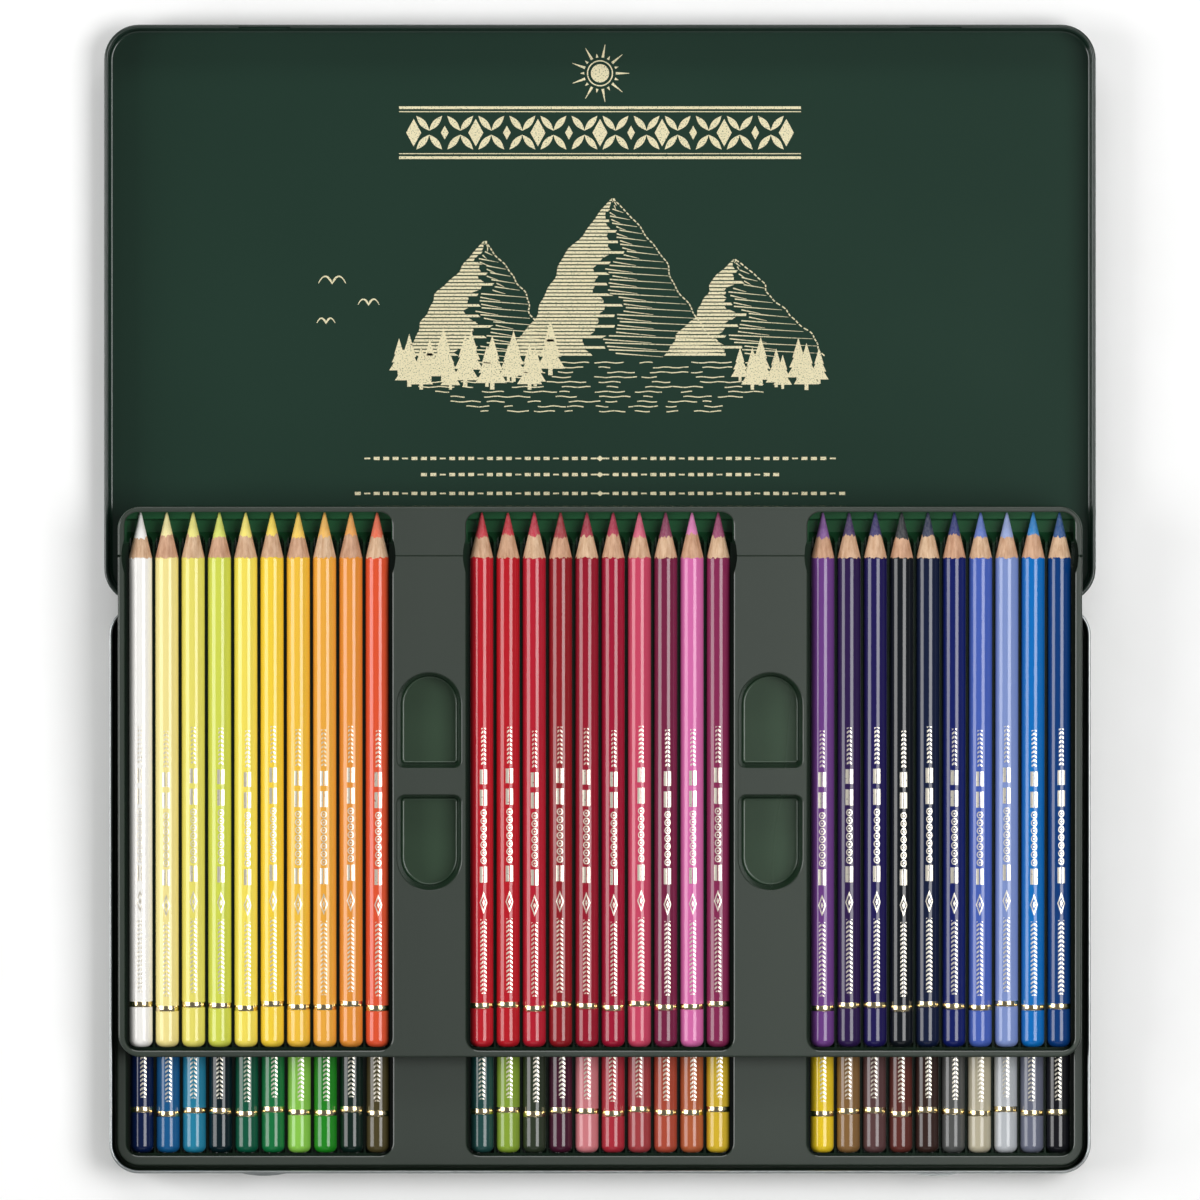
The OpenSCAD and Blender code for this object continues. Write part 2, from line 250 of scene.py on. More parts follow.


# %% [markdown]
# The base is the same tinplate. From above little of it shows but the rolled rim and the two snap bumps in
# front. Both get grey metal with fine draw marks, a painted reflection that stands in for the white floor
# mirrored in their enamel. They could be pieces of their own. One material with a mask, by height and by
# distance in front of the wall, keeps the grey metal and the green enamel in register with the pressing.

# %% Tinplate and pins
BASE_LOW, BASE_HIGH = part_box("base_shell")
BASE_RIM = 1.1 * MM
BUMP_OUT = 0.8 * MM
BUMP_REACH = 4.0 * MM
BUMP_MASK_INSET = 0.12 * MM


def tinplate():
    f = Finish("tinplate")
    spot = f.place()
    _, y, height = f.axes(spot)
    marks = f.noise(f.stretched(spot, (30.0, 30.0, 700.0)), 12.0, 4.0)
    rim = height.ramp(BASE_HIGH[2] - BASE_RIM, BASE_HIGH[2] - BASE_RIM + RIM_BLEND)
    # painted reflection: grey metal on the rim and the snap bumps stands in for the floor mirrored in the
    # enamel
    bump = (y < BASE_LOW[1] + BUMP_OUT - BUMP_MASK_INSET) * (height > BASE_HIGH[2] - BUMP_REACH)
    grey_metal_as_reflection = (rim + bump).clamp()
    metal = f.mix(marks, paint("8A8F90"), paint("B2B6B6"))
    colour = f.mix(grey_metal_as_reflection, paint("2A392B"), metal)
    rough = marks * 0.16 + 0.26
    relief = f.bump(marks, 0.1, 0.00002)
    return f.set(Base_Color=colour, Metallic=grey_metal_as_reflection * 0.9, Roughness=rough, Normal=relief)


def pin_steel():
    f = Finish("pin_steel")
    turned = f.noise(f.stretched(f.place(), (900.0, 20.0, 20.0)), 3.0, 3.0)
    colour = f.mix(turned, paint("8C8F92"), paint("B8BBBD"))
    return f.set(Base_Color=colour, Metallic=1.0, Roughness=turned * 0.2 + 0.25)


dress(tinplate(), "base_shell")
dress(pin_steel(), "hinge_pins")
print("base rim at", round(BASE_HIGH[2] * 1000, 2), "mm")


# %% [markdown]
# A tray is one sheet of green plastic, drawn down over a mould while hot. The flange isn't stretched and
# stays rough, and its greyer colour is a painted sheen, while the wells and cups come out glossy and more
# green. In the wells the green is darker, as painted shade between the pencils, and lighter behind the
# pencil points, as painted light on the rear slope. In the cups the walls are darker than the floors, as
# painted shade. That could be painted by hand on the faces. The depth under the flange does it by itself,
# and on the tilted tray the depth is measured along the tray's own normal. The cups are told from the wells
# by their place across the tray, and the skirt round the edge is left as the flange is.

# %% Tray plastic
CUP_NEAR = 45.0 * MM
CUP_FAR = 66.5 * MM
CUP_DEPTH = 8.4 * MM
CUP_FOOT = 0.5 * MM
SKIRT = 1.2 * MM
FLANGE_DEPTH = 0.12 * MM
FLANGE_SHEEN_DEPTH = 0.7 * MM
SLOPE_FROM = 13.0 * MM
SLOPE_FULL = 8.5 * MM


def top_of(node, up):
    """How far the node's highest points lie along up."""
    return float((node_points(node) @ up).max())


def tray_plastic(tray, up, top_height):
    f = Finish(f"{tray}_plastic")
    front_edge, rear_edge = (corner[1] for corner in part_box(tray))
    spot = f.place()
    x, y, z = f.axes(spot)
    depth = z * float(up[2]) + y * float(up[1]) - top_height
    flat = depth.ramp(-FLANGE_DEPTH, -FLANGE_DEPTH / 3)
    flange_band = depth.ramp(-FLANGE_SHEEN_DEPTH, -FLANGE_SHEEN_DEPTH / 2)
    inside = y.between(front_edge + SKIRT, rear_edge - SKIRT)
    cup = x.math("ABSOLUTE").between(CUP_NEAR, CUP_FAR) * inside
    pebbles = f.noise(spot, 1700.0, 2.0)
    haze = f.noise(f.stretched(spot, (16.0, 2.0, 2.0)), 1.4, 3.0)
    # painted sheen: the flange's greyer colour stands in for its broad reflection
    flange_sheen_grey = f.mix(haze, paint("252E27"), paint("2D372E"))
    # painted shade and light: the wells are dark between the pencils and lighter green on the lit rear
    # slope
    lit_rear_slope = y.ramp(rear_edge - SLOPE_FROM, rear_edge - SLOPE_FULL) * (y < rear_edge - SKIRT)
    well = f.mix(lit_rear_slope, paint("0F2617"), paint("1C4E2E"))
    # painted shade: the cup walls are darker than the cup floors
    floor = depth.ramp(-CUP_DEPTH + CUP_FOOT, -CUP_DEPTH + CUP_FOOT / 5)
    cup_with_shaded_walls = f.mix(floor, paint("13291A"), f.mix(haze, paint("2E4331"), paint("374C39")))
    colour = f.mix(flange_band, f.mix(cup, well, cup_with_shaded_walls), flange_sheen_grey)
    rough = 0.14 + haze * 0.05 + flat * 0.31 + cup * (1.0 - flat) * 0.10
    return f.set(Base_Color=colour, Roughness=rough, Normal=f.bump(pebbles, 0.10, 0.00003))


PLASTICS = {tray: tray_plastic(tray, up, top_of(tray, up)) for tray, (_, up) in TRAYS.items()}
for tray, plastic in PLASTICS.items():
    dress(plastic, tray)
    print(tray, "flange lies", round(top_of(tray, TRAYS[tray][1]) * 1000, 2), "mm up")


# %% [markdown]
# Hot sheet can't fill a sharp corner, so the walls of a finger cup run into its floor in a small round, and
# that is what draws a bright line at the foot of each cup. A bump could fake it, but a round swept along
# the foot is real and gives its line from every side. The cup's foot is straight at the web and a half
# circle at its far end.

# %% The rounds in the finger cups
CUP_X = 55.8
FOOT_HALF = 9.1
FOOT_NEAR = 5.8
FOOT_FAR = 34.2
FOOT_CORNER = 1.2
FOOT_ROUND = 0.9
FOOT_TOLERANCE = 0.02 * MM
OFF_WALL = 0.02
INTO_FLOOR = 0.004
IN_SHEET = (-0.25, -0.15)
WALL_LEAN = math.atan(1.4 * MM / CUP_DEPTH)


def foot_round():
    """A concave arc from floor to wall, as inward and upward, closed by a point inside the sheet."""
    t = np.linspace(0.0, np.pi / 2 - WALL_LEAN, 9)
    slide = 1.0 - math.cos(WALL_LEAN) + (1.0 - math.sin(WALL_LEAN)) * math.tan(WALL_LEAN)
    inward = FOOT_ROUND * (1.0 - np.sin(t) - slide) + OFF_WALL
    upward = FOOT_ROUND * (1.0 - np.cos(t)) - INTO_FLOOR
    return np.r_[inward, IN_SHEET[0]], np.r_[upward, IN_SHEET[1]]


def cup_rounds(tray):
    """Four sweeps of foot_round: centre + (radius - inward) * (cos, sin) of the angle along the foot."""
    along, up = TRAYS[tray]
    points = node_points(tray)
    floor = top_of(tray, up) - CUP_DEPTH
    sideways = np.abs(points[:, 0])
    at_floor = np.abs(points @ up - floor) < FOOT_TOLERANCE
    at_floor &= (sideways > CUP_NEAR) & (sideways < CUP_FAR)
    reach = (points @ along)[at_floor]
    middle = (reach.min() + reach.max()) / 2
    side = FOOT_HALF - FOOT_CORNER
    near = FOOT_NEAR + FOOT_CORNER
    arcs = (
        (side, near, FOOT_CORNER, -90.0, 0.0, 7),
        (0.0, FOOT_FAR - FOOT_HALF, FOOT_HALF, 0.0, 180.0, 41),
        (-side, near, FOOT_CORNER, 180.0, 270.0, 7),
    )
    path = [(x, y, r, a) for x, y, r, low, high, n in arcs for a in np.radians(np.linspace(low, high, n))]
    x, y, radius, angle = np.array(path).T[:, :, None]
    inward, upward = foot_round()
    across = x + (radius - inward) * np.cos(angle)
    ahead = y + (radius - inward) * np.sin(angle)
    rows, columns = across.shape
    i, j = np.meshgrid(np.arange(rows), np.arange(columns), indexing="ij")
    k = (i + 1) % rows
    m = (j + 1) % columns
    corners = [i * columns + j, i * columns + m, k * columns + m, k * columns + j]
    quads = np.stack(corners, axis=-1).reshape(-1, 4)
    all_points = []
    all_faces = []
    for cup_x in (-CUP_X, CUP_X):
        for way in (1, -1):
            first = len(all_points) * across.size
            spots = (cup_x + across)[..., None] * np.array([1.0, 0.0, 0.0]) * MM
            spots = spots + (middle + way * ahead * MM)[..., None] * along
            spots = spots + (floor + upward * MM)[None, :, None] * up
            all_points.append(spots.reshape(-1, 3))
            all_faces += (quads[:, ::way] + first).tolist()
    mesh = bpy.data.meshes.new(f"{tray}_cup_rounds")
    mesh.from_pydata(np.vstack(all_points).tolist(), [], all_faces)
    mesh.polygons.foreach_set("use_smooth", [True] * len(mesh.polygons))
    mesh.set_sharp_from_angle(angle=math.radians(40.0))
    mesh.materials.append(PLASTICS[tray])
    mesh.validate()
    piece = add(f"{tray}_cup_rounds", mesh)
    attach(piece, tray)
    return piece


for tray in TRAYS:
    print(cup_rounds(tray).name)


# %% [markdown]
# A pencil could be a few cylinders and a cone, but its rounded dip end, foil ring and blunted point make it
# a turned shape: one profile carried round an axis. The grid has a row for each station along the pencil
# and a column for each angle. Guard rows a third of a millimetre off each sharp edge keep its smooth
# shading from spreading. The attribute "place" rides on it, with the distance from the point in millimetres
# and the sine and cosine of the angle, so that bands and foil follow the surface with no seam. The foil
# isn't stamped at quite the same place on every pencil, so a small shift goes into the profile and the
# finish alike.

# %% Pencil shape
R = 3.8
LENGTH = 175.0
DIP = 2.2
CONE = 14.8
POINT_R = 0.3
FOIL = 0.025
RING_AT = 12.6
RING_W = 1.8
SIDES = 48
SHIFT = 0.8
SHIFT_TURN = 2.3


def pencil_profile(shift):
    """Stations from the dipped end and their radii: a rounded end, a barrel with a foil ring, a cone."""
    t = np.linspace(0.0, np.pi / 2, 11)
    stations = [DIP - DIP * np.cos(t)]
    radii = [R - DIP + DIP * np.sin(t)]
    step = 0.05
    guard = 0.35
    edges = [-step - guard, -step, 0.0, RING_W, RING_W + step, RING_W + step + guard]
    ring = RING_AT + shift + np.array(edges)
    stations.append(np.r_[DIP + guard, ring])
    radii.append(R + FOIL * np.array([0.0, 0.0, 0.0, 1.0, 1.0, 0.0, 0.0]))
    barrel = np.linspace(RING_AT + RING_W + 3.0, LENGTH - CONE - guard, 8)
    stations.append(np.r_[barrel, LENGTH - CONE - step])
    radii.append(np.full(barrel.size + 1, R))
    cone = np.r_[0.0, guard / CONE, np.linspace(0.12, 1.0, 8)]
    stations.append(LENGTH - CONE * (1.0 - cone))
    radii.append(R + (POINT_R - R) * cone - FOIL * (1.0 - cone))
    return np.concatenate(stations), np.concatenate(radii)


ROWS = len(pencil_profile(0.0)[0])


def pencil_points(start, along, up, roll, shift):
    """Points of one pencil: start + station * along + radius * (sin(angle) * right + cos(angle) * up)."""
    stations, radii = pencil_profile(shift)
    angle = np.linspace(-np.pi, np.pi, SIDES, endpoint=False)
    right = np.array([1.0, 0.0, 0.0])
    s, a = np.meshgrid(stations, angle, indexing="ij")
    outward = np.sin(a)[..., None] * right + np.cos(a)[..., None] * up
    body = start + MM * (s[..., None] * along + radii[:, None, None] * outward)
    place = np.stack([LENGTH - s, np.sin(a - roll), np.cos(a - roll)], axis=-1)
    ends = np.array([start, start + MM * LENGTH * along])
    end_place = np.array([[LENGTH, 0.0, -1.0], [0.0, 0.0, -1.0]])
    return np.vstack([body.reshape(-1, 3), ends]), np.vstack([place.reshape(-1, 3), end_place])


def pencil_faces(first):
    """Quads between rows, and a fan of triangles at each end."""
    i, j = np.meshgrid(np.arange(ROWS - 1), np.arange(SIDES), indexing="ij")
    k = (j + 1) % SIDES
    corners = [i * SIDES + j, (i + 1) * SIDES + j, (i + 1) * SIDES + k, i * SIDES + k]
    quads = np.stack(corners, axis=-1)
    j = np.arange(SIDES)
    k = (j + 1) % SIDES
    start = ROWS * SIDES
    tip = start + 1
    last = (ROWS - 1) * SIDES
    front = np.stack([np.full(SIDES, start), j, k], axis=-1)
    back = np.stack([np.full(SIDES, tip), last + k, last + j], axis=-1)
    return (quads.reshape(-1, 4) + first).tolist() + (np.vstack([front, back]) + first).tolist()


# %% [markdown]
# Lacquer colours, chosen against the photograph, left to right. Each pencil's lead is the same
# pigment without the lacquer's gloss, a little lighter.

# %% Pencil colours
UPPER_PAINTS = (
    "F1EFEA EDDD90 E2D868 CBD350 EFDB5A F0CC3C ECBC3E E6A53E DF8E36 DA5230 "
    "BA1E2A B41B26 B01D2F 8C1B22 92182B 9C1733 C44460 722040 D068A4 822850 "
    "6A3C82 2C1A48 1E1750 12161C 131C38 121D5E 455EB0 7C8FC4 0D6BB8 0B3874"
).split()
LOWER_PAINTS = (
    "0A1C46 185A8E 2480A0 0A1E24 0F563E 16723E 88C64C 208620 10241E 4B4327 "
    "224846 86A236 2F3829 43172C CC7A80 AA2C3A A03E42 AC4A36 B05C38 D2B02E "
    "E8C626 84623A 5A3E3E 5E2E28 372521 535453 B6AE96 B6BABE 666A7C 15151A"
).split()


# %% [markdown]
# One finish serves all sixty pencils, because what differs between them is carried as attributes. Sixty
# materials would look the same and be harder to keep alike. From the point it runs through bare pigment,
# cedar and lacquer, and the edges wander a little, as a sharpener leaves them.

# %% Pigment, cedar and lacquer
def grain_of(f, spot):
    """Fine grain along the pencil: noise squeezed across it."""
    return f.noise(f.stretched(spot, (900.0, 60.0, 900.0)), 1.0, 4.0, 0.65)


def cedar(f, spot, grain, seed):
    tone = (seed * 3.7).math("SINE") * 0.5 + 0.5
    fleck = f.noise(f.stretched(spot, (2400.0, 700.0, 2400.0)), 1.0, 2.0)
    pale = f.mix(tone, paint("DCBC9A"), paint("D2A586"))
    dark = f.mix(tone, paint("B48A66"), paint("A87859"))
    wood = f.mix(grain.ramp(0.38, 0.72), pale, dark)
    return f.mix(fleck.ramp(0.58, 0.78) * 0.35, wood, paint("8E6446"))


def pigment(f, spot, lacquer):
    fleck = f.noise(f.stretched(spot, (2000.0, 900.0, 2000.0)), 1.0, 2.0)
    lighter = f.node("ShaderNodeGamma", {}, {"Color": lacquer, "Gamma": 0.8}, "Color")
    return f.mix(fleck.ramp(0.35, 0.7) * 0.08, lighter, paint("F2EAE2"))


# %% [markdown]
# Near the dipped end lies a ring of gold foil, and over it a row of stamped foil: a laurel, a lozenge, bars
# and a chain. They could be image textures, but a picture has only so many dots. Worked out from the
# distance along the pencil and round it, the edges stay sharp at any size. Foil is metal, so it is bright
# only where it mirrors a lamp.

# %% Stamped foil
LAUREL = (17.5, 41.8)
SHORT_LAUREL = (92.5, 104.5)
LOZENGE_AT = 47.3
CHAIN = (60.0, 77.8)
BARS = ((53.9, 59.1), (79.1, 84.3), (86.1, 90.9))
LEAD_SHOWS = 5.6
CONE_SHOWS = 13.6


def foil_row(along, side):
    """A mask of plain ornament, by the distance from the dipped end in mm and the sine round the pencil."""
    across = side.math("ABSOLUTE")
    leaves = ((along + across * 3.0) / 1.45).math("FRACT").between(0.1, 0.58)
    leaves = leaves * across.between(0.04, 0.27)
    laurel = leaves * (along.between(*LAUREL) + along.between(*SHORT_LAUREL) * (across < 0.21))
    beat = (along / 2.6).math("FRACT") - 0.5
    link = (beat / 0.46).math("POWER", 2.0) + (side / 0.27).math("POWER", 2.0)
    pearl = (beat / 0.13).math("POWER", 2.0) + (side / 0.09).math("POWER", 2.0)
    chain = ((link < 1.0) * (link > 0.42) + (pearl < 1.0)) * along.between(*CHAIN)
    bars = along.between(*BARS[0]) + along.between(*BARS[1]) + along.between(*BARS[2])
    bars = bars * across.between(0.05, 0.32)
    middle = (along - LOZENGE_AT).math("ABSOLUTE")
    lozenge = (middle / 3.6 + across / 0.34 < 1.0) * (middle / 2.4 + across / 0.23 > 1.0)
    heart = middle / 1.1 + across / 0.12 < 1.0
    return (laurel + chain + bars + lozenge + heart).clamp()


def pencil_finish():
    f = Finish("pencil_finish")
    spot = f.place()
    where = f.node("ShaderNodeAttribute", {"attribute_name": "place"}, out="Vector")
    lacquer = f.node("ShaderNodeAttribute", {"attribute_name": "lacquer"}, out="Color")
    seed = f.node("ShaderNodeAttribute", {"attribute_name": "seed"}, out="Fac")
    back, side, top = f.axes(where)
    girth = f.node("ShaderNodeCombineXYZ", {}, {"X": side, "Y": top, "Z": seed})
    lead = back < f.noise(girth, 1.6, 3.0, 0.6) * 4.2 + LEAD_SHOWS + (seed * 1.9).math("SINE") * 0.5
    wood = back < f.noise(girth, 3.4, 3.0) * 2.2 + CONE_SHOWS

    along = LENGTH - back - (seed * SHIFT_TURN).math("SINE") * SHIFT
    ring = along.between(RING_AT, RING_AT + RING_W)
    worn = f.noise(f.stretched(spot, (1500.0, 1500.0, 1500.0)), 1.0, 2.0).ramp(0.24, 0.36)
    stamp = foil_row(along, side) * (top > 0.0) * worn
    foil = (ring + stamp).clamp()

    grain = grain_of(f, spot)
    streak = f.noise(f.stretched(spot, (250.0, 8.0, 250.0)), 1.0, 2.0)
    colour = f.mix(wood, lacquer, cedar(f, spot, grain, seed))
    colour = f.mix(lead, colour, pigment(f, spot, lacquer))
    colour = f.mix(foil, colour, f.mix(ring, paint("F4EDDC"), paint("F0DFB4")))
    rough = 0.08 + streak * 0.03 + wood * 0.5 + stamp * 0.24 + ring * 0.08
    relief = grain * wood * 0.6 + foil * 0.5
    metal = ring + stamp * 0.8
    normal = f.bump(relief, 0.35, 0.00005)
    return f.set(Base_Color=colour, Metallic=metal, Roughness=rough, Normal=normal)


PENCIL_FINISH = pencil_finish()
print("nodes in the pencil finish:", len(PENCIL_FINISH.node_tree.nodes))


# %% [markdown]
# Each upper pencil is a piece of its own, because each has its own lift joint. The thirty lower ones never
# move apart from their tray, so each well's ten share one piece. Small turns about the axis keep the foil
# rows from lining up too well, as on the real thing.

# %% Make the pencils
PER_WELL = 10


def pencil_row(name, tray, starts, paints, seeds, body, replaced):
    along, up = TRAYS[tray]
    points, places, colours, seed_values, faces = [], [], [], [], []
    for k, (start, code, seed) in enumerate(zip(starts, paints, seeds)):
        roll = 0.12 * math.sin(seed * 5.3) + 0.05
        mine, where = pencil_points(start, along, up, roll, SHIFT * math.sin(seed * SHIFT_TURN))
        faces += pencil_faces(k * len(mine))
        points.append(mine)
        places.append(where)
        colours.append(np.tile([*paint(code), 1.0], (len(mine), 1)))
        seed_values.append(np.full(len(mine), seed))
    mesh = bpy.data.meshes.new(name)
    mesh.from_pydata(np.vstack(points).tolist(), [], faces)
    mesh.polygons.foreach_set("use_smooth", [True] * len(mesh.polygons))
    carried = (
        ("place", "FLOAT_VECTOR", "vector", places),
        ("lacquer", "FLOAT_COLOR", "color", colours),
        ("seed", "FLOAT", "value", seed_values),
    )
    for label, kind, field, values in carried:
        layer = mesh.attributes.new(label, kind, "POINT")
        layer.data.foreach_set(field, np.concatenate(values).ravel())
    mesh.materials.append(PENCIL_FINISH)
    mesh.validate()
    mesh.update()
    piece = add(name, mesh)
    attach(piece, body)
    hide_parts(*replaced)


def pencil_start(points, tray):
    """The middle of the dipped end of a pencil, or of a row of pencils, from the points of its solids."""
    along, up = TRAYS[tray]
    x = (points[:, 0].min() + points[:, 0].max()) / 2
    high = points @ up
    far = points @ along
    return np.array([x, 0.0, 0.0]) + up * (high.min() + high.max()) / 2 + along * far.min()


for i, code in enumerate(UPPER_PAINTS, 1):
    node = f"upper_pencil_{i:02d}"
    start = pencil_start(node_points(node), "upper_tray")
    pencil_row(f"pencil_{i:02d}", "upper_tray", [start], [code], [float(i)], node, [node])

for w, well in enumerate(("left", "middle", "right")):
    points = node_points(f"lower_casings_{well}")
    start = pencil_start(points, "lower_tray")
    span = points[:, 0].max() - points[:, 0].min() - 2 * R * MM
    starts = [start + np.array([x, 0.0, 0.0]) for x in np.linspace(-span / 2, span / 2, PER_WELL)]
    first = PER_WELL * w
    codes = LOWER_PAINTS[first : first + PER_WELL]
    seeds = [len(UPPER_PAINTS) + 1.0 + first + k for k in range(PER_WELL)]
    replaced = [f"lower_casings_{well}", f"lower_leads_{well}"]
    name = f"lower_pencils_{well}"
    pencil_row(name, "lower_tray", starts, codes, seeds, "lower_tray", replaced)
print("pencils:", len(UPPER_PAINTS) + len(LOWER_PAINTS))

# %% [markdown]
# The print inside the lid is cream ink on the green panel. A picture texture would blur close up, so the
# print is drawn as thin flat shapes in millimetres, each a hair above the last, as later ink lies on
# earlier ink. The picture is a plain mountain lake in the manner of an engraving: solid where the light
# falls, lines in the shade.

# %% Ink shapes
INK_LIFT = 0.02
INK_STEP = 0.0012
INK_LAYERS = 40
ink_points = []
ink_faces = []


def ink(points, faces):
    """Add flat faces, turned so that every one faces up."""
    first = sum(len(p) for p in ink_points)
    lift = INK_LIFT + INK_STEP * (len(ink_points) % INK_LAYERS)
    ink_points.append(np.column_stack([points, np.full(len(points), lift)]))
    for face in faces:
        x, y = points[face].T
        area = np.dot(x, np.roll(y, -1)) - np.dot(y, np.roll(x, -1))
        ink_faces.append([first + i for i in (face if area > 0 else face[::-1])])


def stroke(path, width):
    """A band along a path: each point goes half the width to both sides, square to the path."""
    path = np.asarray(path, float)
    step = np.gradient(path, axis=0)
    step /= np.maximum(np.linalg.norm(step, axis=1, keepdims=True), 1e-9)
    side = np.column_stack([-step[:, 1], step[:, 0]]) * (np.broadcast_to(width, len(path))[:, None] / 2)
    n = len(path)
    ink(np.vstack([path + side, path - side]), [[i, n + i, n + i + 1, i + 1] for i in range(n - 1)])


def blot(outline):
    """A filled convex shape."""
    ink(np.asarray(outline, float), [list(range(len(outline)))])


def lozenge(x, y, w, h):
    blot([[x - w / 2, y], [x, y - h / 2], [x + w / 2, y], [x, y + h / 2]])


def leaf(x, y, length, turn):
    """A pointed leaf: its half-width is 0.16 * length * sin(pi * t), with t from 0 to 1 along it."""
    t = np.linspace(0.0, 1.0, 10)
    path = t[:, None] * length * np.array([math.cos(turn), math.sin(turn)]) + [x, y]
    stroke(path, np.maximum(0.32 * length * np.sin(np.pi * t), 0.05))


# %% [markdown]
# A mountain has a lit face, a shaded face and a crooked ridge between them. All three edges are functions
# of the height, so a row of thin bands from edge to ridge fills the lit side, and finer lines shade the
# other.

# %% The mountains
FOOT_Y = 80.0
LINE_PITCH = 1.15


def crooked(t, seed, size):
    """A folded line: sines of rising pitch and falling size."""
    folds = np.sin(9.0 * t + seed) + 0.5 * np.sin(23.0 * t + 2.1 * seed) + 0.25 * np.sin(51.0 * t + seed)
    return size * folds


def mountain(peak_x, peak_y, left, right, seed):
    """Bands at t from 0 at the peak to 1 at the foot. An edge is peak_x plus reach * t ** 0.85, folded."""
    count = int((peak_y - FOOT_Y) / LINE_PITCH)
    for k in range(count):
        t = np.array([k + 0.1, k + 0.78]) / count
        fade = np.minimum(t * 4.0, 1.0)
        y = peak_y + (FOOT_Y - peak_y) * t
        lit = peak_x - left * t**0.85 + crooked(t, seed, 1.1) * fade
        ridge = peak_x + 0.16 * (right - left) * t + crooked(1.7 * t, seed + 2.0, 2.6) * fade
        shade = peak_x + right * t**0.85 + crooked(t, seed + 4.0, 1.1) * fade
        notch = lit + (ridge - lit) * (0.78 if k % 3 else 1.0)
        ink(np.column_stack([np.r_[lit, notch[::-1]], np.r_[y, y[::-1]]]), [[0, 1, 2, 3]])
        reach = ridge + (shade - ridge) * (0.45 + 0.55 * (k % 2))
        stroke([[ridge[0] + 0.8, y[0]], [reach[0], y[0] - 1.2]], np.array([0.42, 0.12]))
        stroke(np.column_stack([shade, y]), 0.42)


mountain(-38.0, 118.0, 28.0, 24.0, 0.4)
mountain(44.0, 112.0, 22.0, 30.0, 3.1)
mountain(4.0, 132.0, 34.0, 36.0, 1.3)
print("ink shapes after the mountains:", len(ink_faces))


# %% [markdown]
# The lake is rows of short wavy strokes that draw in towards the bottom, and each fir is three triangles on
# a trunk. Random draws would scatter them as well. Sines of the row and the place do it the same way on
# every run.

# %% The lake and the firs
def fir(x, y, h):
    """Three stacked triangles on a short trunk."""
    for k in range(3):
        half = h * (0.13 + 0.07 * k)
        low = y + h * (0.56 - 0.22 * k)
        blot([[x - half, low], [x + half, low], [x, low + 0.44 * h]])
    blot([[x - 0.04 * h, y], [x + 0.04 * h, y], [x + 0.04 * h, y + 0.13 * h], [x - 0.04 * h, y + 0.13 * h]])


for k in range(11):
    y = FOOT_Y - 2.0 - 1.6 * k
    half = 68.0 - 1.2 * k - 2.2 * abs(k - 3)
    for m in range(8):
        start = -half + 2 * half * (m + 0.16 * math.sin(2.1 * k + m)) / 8
        length = half * (0.14 + 0.08 * math.sin(1.7 * k + 2.3 * m))
        x = np.linspace(start, start + length, 8)
        stroke(np.column_stack([x, y + 0.18 * np.sin(0.9 * x + k)]), 0.34)
for k in range(15):
    x = -66.0 + 3.5 * k + 0.9 * math.sin(3.3 * k)
    fir(x, FOOT_Y - 6.0 - 5.0 * abs(math.sin(0.9 * k)), 12.0 + 6.0 * math.sin(1.9 * k) ** 2)
for k in range(8):
    x = 46.0 + 3.7 * k + 0.8 * math.sin(2.7 * k)
    fir(x, FOOT_Y - 8.0 - 3.0 * abs(math.sin(1.3 * k)), 11.0 + 5.0 * math.sin(2.3 * k) ** 2)
print("ink shapes after the firs:", len(ink_faces))

# %% [markdown]
# The rest of the print is a sun, three birds, a band of lozenges and leaves between rules, and three rows
# of dashes. Each is a short loop, because an ornament that repeats stays even that way.

# %% The sun, the birds, the band and the rules
BAND_Y = 153.5
SUN = (0.0, 173.0)
turn = np.linspace(0.0, 2 * np.pi, 41)
ring = np.column_stack([np.cos(turn), np.sin(turn)])
blot(SUN + 3.0 * ring[:-1])
stroke(SUN + 4.1 * ring, 0.4)
for a in np.linspace(0.0, 2 * np.pi, 18, endpoint=False):
    ray = np.array([math.cos(a), math.sin(a)])
    stroke(np.outer([5.2, 8.0 + 1.6 * math.cos(9 * a)], ray) + SUN, np.array([0.9, 0.15]))
for x, y, span in ((-88.0, 104.0, 9.0), (-76.0, 97.0, 7.0), (-90.0, 91.0, 6.0)):
    t = np.linspace(-1.0, 1.0, 15)
    wing = np.column_stack([x + span * t / 2, y + 0.26 * span * (1 - (1 - 2 * np.abs(t)) ** 2)])
    stroke(wing, 0.75 - 0.5 * np.abs(t))
for k in range(-6, 7):
    x = 10.2 * k
    size = 9.0 if k % 2 == 0 else 4.6
    lozenge(x, BAND_Y, 0.55 * size, size)
    if k < 6:
        for side in (-1, 1):
            for turn_to in (side * 0.85, math.pi - side * 0.85):
                leaf(x + 5.1, BAND_Y + 0.7 * side, 6.4, turn_to)
for y, width in ((BAND_Y - 8.2, 0.9), (BAND_Y - 6.9, 0.3), (BAND_Y + 6.9, 0.3), (BAND_Y + 8.2, 0.9)):
    stroke([[-66.0, y], [66.0, y]], width)
for y, half in ((46.5, 78.0), (41.2, 61.0), (35.0, 82.0)):
    dash = 3.1
    for k in range(int(half / dash)):
        x = (k + 0.35) * dash
        for side in (-1, 1):
            stroke([[side * x, y], [side * (x + 0.62 * dash), y]], 1.05 if k % 4 else 0.5)
    lozenge(0.0, y, 2.4, 1.8)


# %% [markdown]
# Screen-printed ink is a film about 0.03 mm thick, slightly chalky, with pinholes where the green shows
# through. The flat shapes get that thickness from a Solidify modifier, which closes each into a thin solid.

# %% Print the lid
INK_FILM = 0.03 * MM


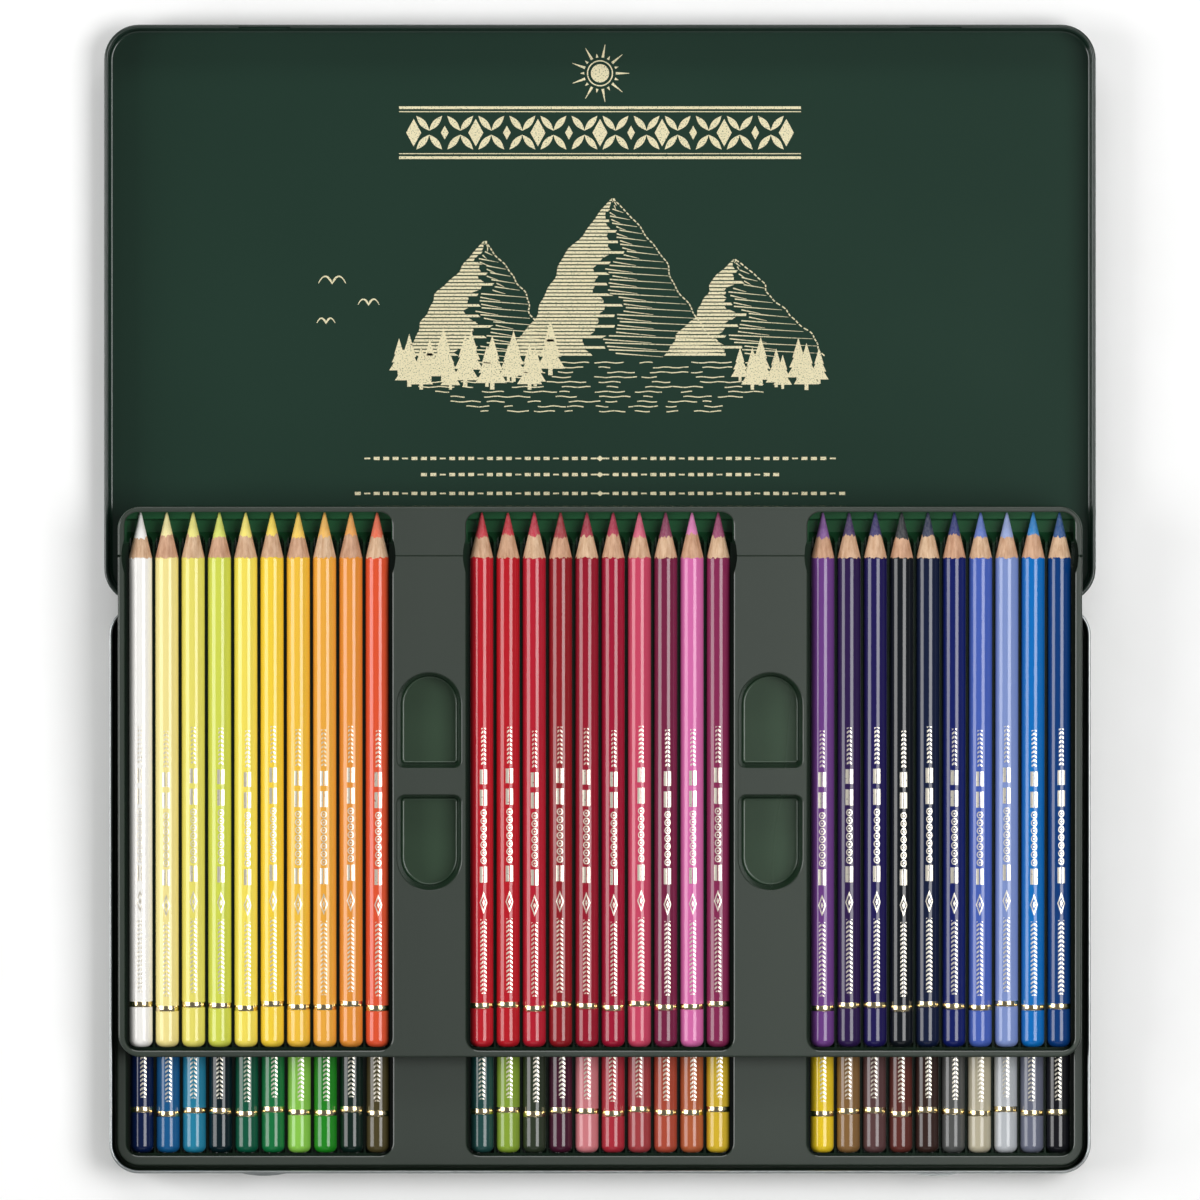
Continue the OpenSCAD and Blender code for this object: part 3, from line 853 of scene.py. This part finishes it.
def ink_finish():
    f = Finish("cream_ink")
    spot = f.place()
    holes = f.noise(spot, 2400.0, 2.0).ramp(0.34, 0.44)
    cloud = f.noise(spot, 40.0, 3.0)
    cream = f.mix(cloud, paint("D8CDA4"), paint("E6DDB8"))
    colour = f.mix(holes, paint("6E7A62"), cream)
    return f.set(Base_Color=colour, Roughness=0.5 + cloud * 0.1)


flat = np.vstack(ink_points) * MM
flat[:, 2] += PANEL_Z
print_mesh = bpy.data.meshes.new("lid_print")
print_mesh.from_pydata(flat.tolist(), [], ink_faces)
print_mesh.validate()
print_mesh.materials.append(ink_finish())
lid_print = add("lid_print", print_mesh)
thickness = lid_print.modifiers.new("ink thickness", "SOLIDIFY")
thickness.thickness = INK_FILM
thickness.offset = 0.0
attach(lid_print, "lid")
print("ink shapes:", len(ink_faces))


# %% [markdown]
# The set is a photographer's white table. A round, glossy pencil mirrors its lamps as lines along it: the
# two bright lines on each pencil tell where two soft boxes hang, one low on the left and one high on the
# right, and how wide they are. Small lamps would give hairlines and one big tent would give none, so two
# boxes of that width it is. Two more hang in front and behind, where a straight pencil doesn't mirror them.
# The one behind is narrow and throws the short shadows in front of each edge, and the one in front is broad
# and weak and only fills them.

# %% Floor and lights
FLOOR_HALF = 3.0
FLOOR_Z = -0.3 * MM
SKY_LIGHT = 0.13


def table():
    f = Finish("table_white")
    spot = f.place()
    colour = f.mix(f.noise(spot, 30.0, 2.0), paint("F4F4F3"), paint("FAFAFA"))
    mesh = bpy.data.meshes.new("table")
    square = ((-1.0, -1.0), (1.0, -1.0), (1.0, 1.0), (-1.0, 1.0))
    corners = [(x * FLOOR_HALF, y * FLOOR_HALF, FLOOR_Z) for x, y in square]
    mesh.from_pydata(corners, [], [(0, 1, 2, 3)])
    mesh.materials.append(f.set(Base_Color=colour, Roughness=0.7))
    floor = add("table", mesh)


def softbox(name, direction, distance, width, length, power):
    """A rectangle of light facing the tin. direction is (right, back) in degrees, and one of them is 0."""
    right, back = (math.radians(a) for a in direction)
    toward = [math.sin(right) * math.cos(back), math.sin(back), math.cos(right) * math.cos(back)]
    light = bpy.data.lights.new(name, "AREA")
    light.shape = "RECTANGLE"
    light.size = width
    light.size_y = length
    light.energy = power
    lamp = add(name, light)
    lamp.location = np.array(toward) * distance
    lamp.rotation_euler = (-back, right, 0.0)


table()
softbox("box_left", (-60.0, 0.0), 1.6, 1.04, 0.9, 15.0)
softbox("box_right", (28.5, 0.0), 1.6, 0.84, 0.9, 16.0)
softbox("soft_back", (0.0, 55.0), 1.9, 1.6, 0.5, 11.0)
softbox("soft_front", (0.0, -55.0), 1.9, 2.4, 1.1, 4.5)
world = bpy.data.worlds.new("studio")
world.use_nodes = True
background = world.node_tree.nodes["Background"]
background.inputs["Color"].default_value = (1.0, 1.0, 1.0, 1.0)
background.inputs["Strength"].default_value = SKY_LIGHT
bpy.context.scene.world = world
bpy.context.scene.view_settings.view_transform = "Standard"

# %% [markdown]
# The photograph looks straight down from far off. Its frame is 393 mm wide at the height of the pencils,
# which set its scale, and a long lens 5 m up sees that.

# %% Camera
FRAME_W = 393.0 * MM
HEIGHT = 5.0
PENCIL_Z = 15.0 * MM
SENSOR = 36.0
lens = bpy.data.cameras.new("overhead")
lens.sensor_width = SENSOR
lens.lens = SENSOR * (HEIGHT - PENCIL_Z) / FRAME_W
lens.clip_end = 20.0
camera = add("overhead", lens)
camera.location = (0.0, 0.0, HEIGHT)
bpy.context.scene.camera = camera
